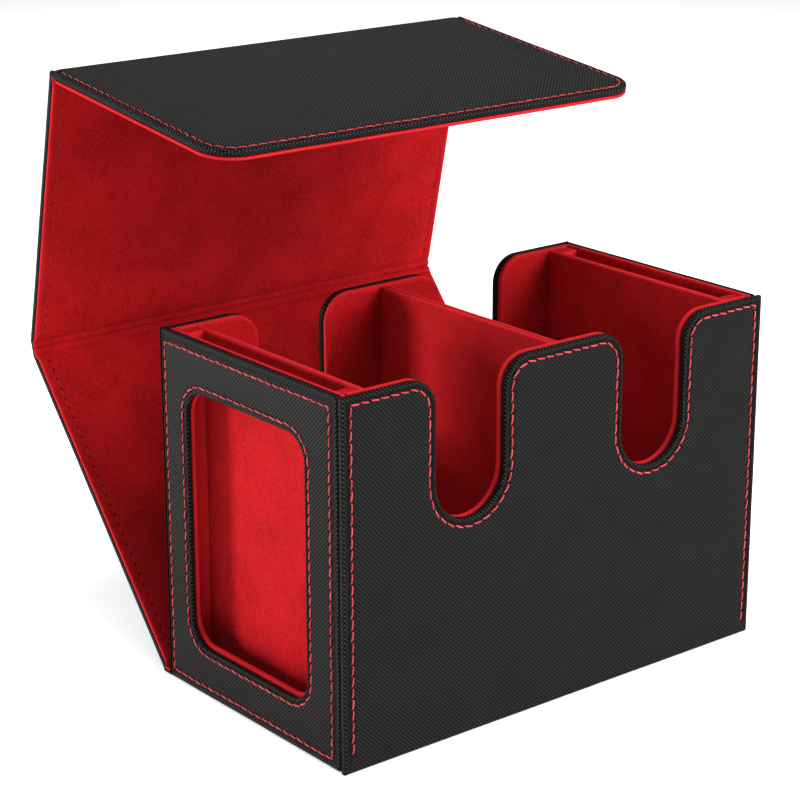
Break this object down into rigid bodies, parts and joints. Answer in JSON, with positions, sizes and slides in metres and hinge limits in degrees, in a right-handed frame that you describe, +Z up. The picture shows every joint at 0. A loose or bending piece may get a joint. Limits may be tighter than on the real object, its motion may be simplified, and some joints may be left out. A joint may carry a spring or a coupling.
{
  "type": "double deck box",
  "caption": "Hinged card box with deck wells, windowed display slots and thumb notches, wrapped by a folding cover with a magnetic flap.",
  "frame": {"origin": "under the middle of the box body, on the surface that it stands on", "axes": "+Z up, +X along the front to the right as seen from the front, -Y out of the front wall, the cover folds about +X"},
  "size_m": [0.1606, 0.1619, 0.1772],
  "materials": {
    "black_leatherette": "matt black leatherette with a fine ribbed weave, red stitching along the edges",
    "red_microfibre": "matt red brushed microfibre lining",
    "greyboard": "uncoated grey board, hidden inside the walls",
    "magnet_plating": "plain plating, hidden inside the walls"
  },
  "bodies": {
    "box": {"front_skin": "black_leatherette", "front_board": "greyboard", "front_lining": "red_microfibre", "front_wall_magnet_left": "magnet_plating", "front_wall_magnet_right": "magnet_plating", "back_skin": "black_leatherette", "back_board": "greyboard", "back_lining": "red_microfibre", "left_skin": "black_leatherette", "left_board": "greyboard", "left_lining": "red_microfibre", "right_skin": "black_leatherette", "right_board": "greyboard", "right_lining": "red_microfibre", "base_skin": "black_leatherette", "base_board": "greyboard", "base_fold_skin": "black_leatherette", "left_deck_floor": "red_microfibre", "right_deck_floor": "red_microfibre", "left_slot_floor": "red_microfibre", "right_slot_floor": "red_microfibre", "left_pocket_wrap": "red_microfibre", "left_pocket_board": "greyboard", "right_pocket_wrap": "red_microfibre", "right_pocket_board": "greyboard", "left_slot_front_spacer": "red_microfibre", "left_slot_back_spacer": "red_microfibre", "right_slot_front_spacer": "red_microfibre", "right_slot_back_spacer": "red_microfibre", "divider_left_panel": "red_microfibre", "divider_right_panel": "red_microfibre"},
    "back_panel": {"back_panel_skin": "black_leatherette", "back_panel_lower_board": "greyboard", "back_panel_upper_board": "greyboard", "back_panel_lining": "red_microfibre"},
    "rear_fold": {"rear_fold_skin": "black_leatherette", "rear_fold_lining": "red_microfibre"},
    "lid": {"lid_skin": "black_leatherette", "lid_board": "greyboard", "lid_lining": "red_microfibre", "front_fold_skin": "black_leatherette"},
    "flap": {"flap_skin": "black_leatherette", "flap_board": "greyboard", "flap_lining": "red_microfibre", "flap_magnet_left": "magnet_plating", "flap_magnet_right": "magnet_plating"}
  },
  "joints": [
    {"name": "base_fold", "type": "hinge", "parent": "box", "child": "back_panel", "pos_m": [0, 0.04645, 0.0009], "axis": [1, 0, 0], "range_deg": [-50, 40]},
    {"name": "rear_fold_lower", "type": "hinge", "parent": "back_panel", "child": "rear_fold", "pos_m": [0, 0.11611, 0.08392], "axis": [1, 0, 0], "range_deg": [-17.5, 14]},
    {"name": "rear_fold_upper", "type": "hinge", "parent": "rear_fold", "child": "lid", "pos_m": [0, 0.11732, 0.08877], "axis": [1, 0, 0], "range_deg": [-34.9, 23.6]},
    {"name": "front_fold", "type": "hinge", "parent": "lid", "child": "flap", "pos_m": [0, 0.09806, 0.17636], "axis": [1, 0, 0], "range_deg": [-84.6, 5.4]}
  ],
  "couplings": [
    {"joint": "rear_fold_lower", "follows": "base_fold", "ratio": 0.35}
  ]
}
